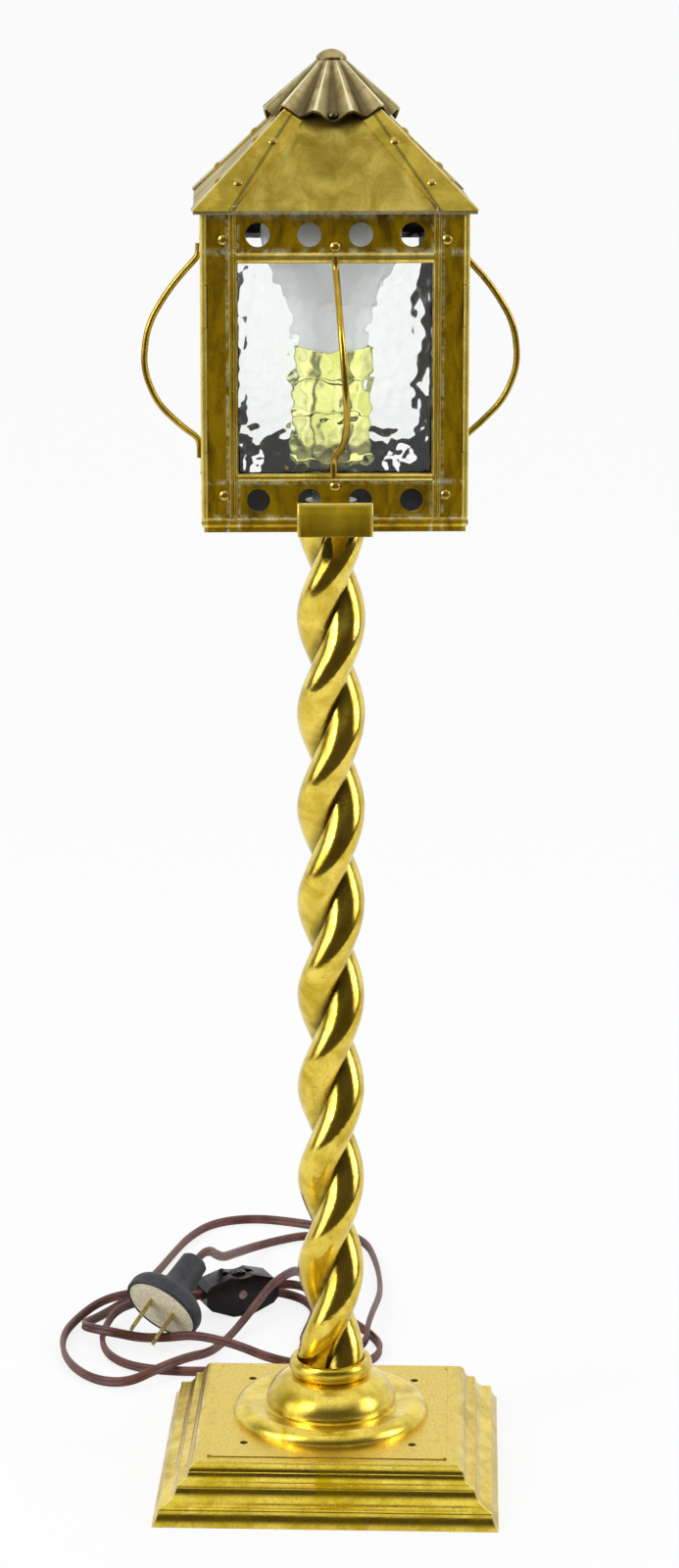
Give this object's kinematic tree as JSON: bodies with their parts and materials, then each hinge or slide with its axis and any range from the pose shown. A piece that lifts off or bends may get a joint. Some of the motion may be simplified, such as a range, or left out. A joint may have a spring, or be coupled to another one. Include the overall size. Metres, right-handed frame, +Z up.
{
  "type": "lantern table lamp",
  "caption": "Brass table lamp: stepped square base, rope-twist column, and a square glazed lantern with hinged side doors, wire guards, pyramid roof and fluted cap; corded switch and plug.",
  "frame": {"origin": "middle of the square base, on its underside", "axes": "+Z up the column; -Y out of the front side of the base; +X to the right of someone facing the front. The lantern, with its front glass and its left and right doors, stands turned 3.7 degrees about +Z on the column, as pictured"},
  "size_m": [0.2193, 0.3968, 0.6336],
  "materials": {
    "polished_brass": "polished",
    "aged_brass": "aged, dark golden-brown patina",
    "roof_brass": "aged, mottled olive and grey-gold",
    "strap_brass": "aged, satin",
    "trim_brass": "aged, worn bright on its crests",
    "wire_brass": "worn bright",
    "green_brass": "aged, with pale green verdigris",
    "catch_brass": "satin",
    "hinge_wire": "aged",
    "socket_brass": "satin",
    "blade_brass": "satin",
    "cast_weight": "rough",
    "zinc_steel": "zinc plated",
    "rivet_metal": "dull",
    "screw_aluminium": "satin",
    "cover_board": "matt",
    "felt": "felt",
    "bushing_plastic": "matt",
    "lantern_glass": "clear, hammered",
    "bulb_glass": "frosted",
    "liner_paper": "matt",
    "porcelain": "glazed",
    "lead_sleeve": "matt",
    "cord_vinyl": "satin brown vinyl",
    "switch_plastic": "satin, near-black brown",
    "plug_rubber": "dusty, charcoal",
    "plug_fibre": "speckled cream fibre"
  },
  "bodies": {
    "lamp": {"back_glass": "lantern_glass", "back_guard": "wire_brass", "back_panel": "aged_brass", "base_felt": "felt", "base_shell": "polished_brass", "base_weight": "cast_weight", "bottom_cover": "cover_board", "bulb_base": "screw_aluminium", "bulb_glass": "bulb_glass", "cap_button": "strap_brass", "cap_screws": "strap_brass", "collar": "polished_brass", "cord_bushing": "bushing_plastic", "cord_lead": "cord_vinyl", "cord_tail": "cord_vinyl", "eave_ring": "aged_brass", "front_glass": "lantern_glass", "front_guard": "wire_brass", "front_panel": "aged_brass", "hinge_pins": "hinge_wire", "hip_straps": "strap_brass", "lamp_leads": "lead_sleeve", "lamp_pipe": "zinc_steel", "lantern_tray": "aged_brass", "neck_ring": "polished_brass", "panel_rivets": "green_brass", "panel_trim": "trim_brass", "pipe_nuts": "zinc_steel", "pipe_washers": "zinc_steel", "plug_blades": "blade_brass", "plug_body": "plug_rubber", "plug_disc": "plug_fibre", "roof_rivets": "green_brass", "roof_shell": "roof_brass", "saddle_bracket": "aged_brass", "screw_shell": "screw_aluminium", "socket_cap": "socket_brass", "socket_core": "porcelain", "socket_liner": "liner_paper", "socket_shell": "socket_brass", "switch_back": "switch_plastic", "switch_front": "switch_plastic", "switch_rivet": "rivet_metal", "twist_column": "polished_brass", "under_plate": "aged_brass", "vent_cap": "roof_brass", "vent_collar": "green_brass"},
    "left_door": {"left_door_catch": "catch_brass", "left_door_glass": "lantern_glass", "left_door_guard": "wire_brass", "left_door_panel": "aged_brass", "left_door_rivets": "green_brass", "left_door_trim": "trim_brass"},
    "right_door": {"right_door_catch": "catch_brass", "right_door_glass": "lantern_glass", "right_door_guard": "wire_brass", "right_door_panel": "aged_brass", "right_door_rivets": "green_brass", "right_door_trim": "trim_brass"},
    "switch_wheel": {"switch_wheel": "switch_plastic"}
  },
  "joints": [
    {"name": "left_door_hinge", "type": "hinge", "parent": "lamp", "child": "left_door", "pos_m": [-0.0505, -0.05748, 0.5071], "axis": [0, 0, 1], "range_deg": [0, 110]},
    {"name": "right_door_hinge", "type": "hinge", "parent": "lamp", "child": "right_door", "pos_m": [0.05748, -0.0505, 0.5071], "axis": [0, 0, -1], "range_deg": [0, 110]},
    {"name": "switch_wheel_turn", "type": "hinge", "parent": "lamp", "child": "switch_wheel", "pos_m": [-0.0532, 0.1855, 0.0112], "axis": [0.4163, -0.9092, 0], "continuous": true}
  ]
}
